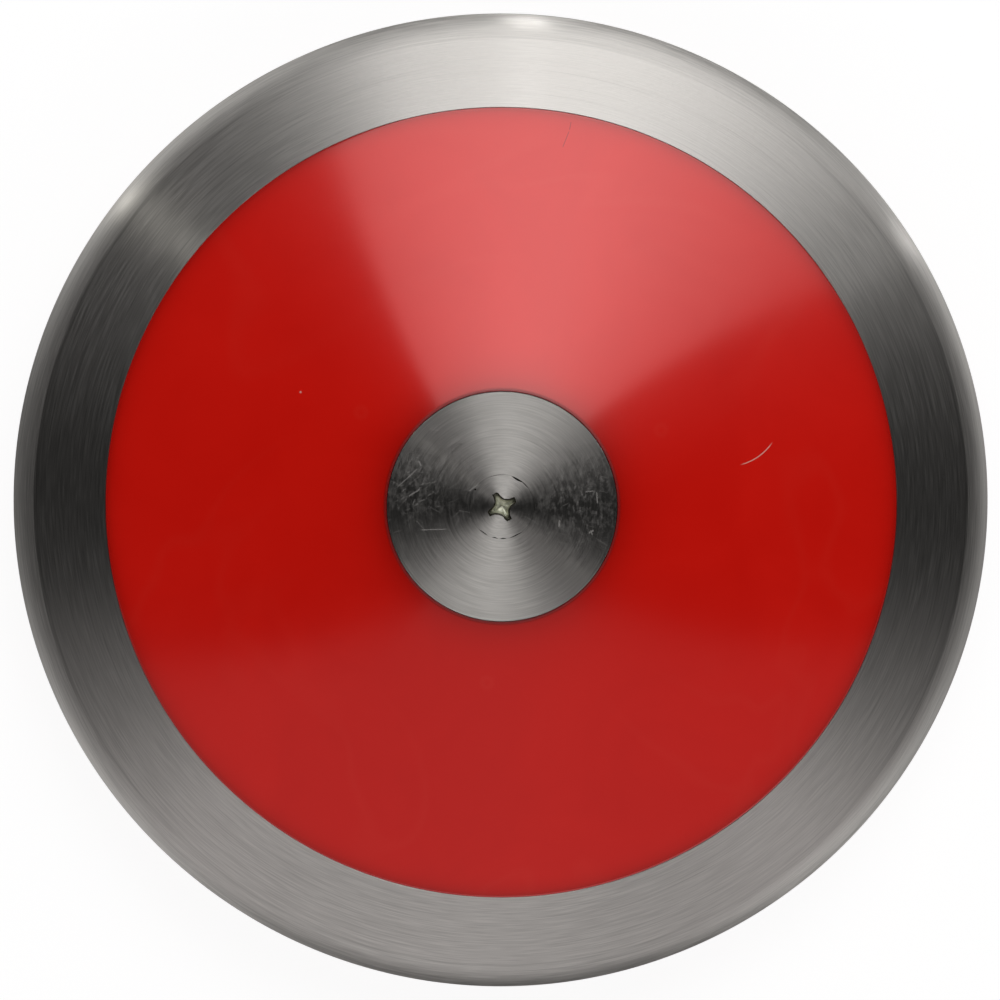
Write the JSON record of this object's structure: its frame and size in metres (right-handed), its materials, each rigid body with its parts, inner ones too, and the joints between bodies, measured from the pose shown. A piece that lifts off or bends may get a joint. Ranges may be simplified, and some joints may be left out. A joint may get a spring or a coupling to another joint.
{
  "type": "discus",
  "caption": "Throwing discus: a turned steel rim round two dished plastic side plates, with flat steel centre plates held by flush cross-recess screws.",
  "frame": {"origin": "centre of the lower centre plate's flat outer face, which is the lowest point of the discus as it lies", "axes": "+Z along the discus's axis, from the lower centre plate to the upper one; +X and +Y in its plane"},
  "size_m": [0.22, 0.22, 0.045],
  "materials": {
    "rim_steel": "turned in fine rings, then polished, with small handling nicks",
    "side_plate_plastic": "glossy moulded plastic with faint swirl marks",
    "centre_plate_steel": "faced on a lathe together with the screw head, fine rings and light scuffs",
    "screw_steel": "head turned flush, with yellow-zinc plating left in the recess",
    "plated_steel": "zinc-plated",
    "dowel_steel": "ground",
    "seal_rubber": "moulded black rubber"
  },
  "bodies": {
    "root": {"rim": "rim_steel", "upper_side_plate": "side_plate_plastic", "lower_side_plate": "side_plate_plastic", "upper_centre_plate": "centre_plate_steel", "lower_centre_plate": "centre_plate_steel", "upper_centre_screw": "screw_steel", "lower_centre_screw": "screw_steel", "centre_sleeve": "plated_steel", "trim_washer_1": "plated_steel", "trim_washer_2": "plated_steel", "trim_washer_3": "plated_steel", "upper_cushion_ring": "seal_rubber", "lower_cushion_ring": "seal_rubber", "upper_seal_ring": "seal_rubber", "lower_seal_ring": "seal_rubber", "rim_dowel_1": "dowel_steel", "rim_dowel_2": "dowel_steel", "rim_dowel_3": "dowel_steel", "rim_dowel_4": "dowel_steel", "rim_dowel_5": "dowel_steel", "rim_dowel_6": "dowel_steel"}
  },
  "joints": []
}
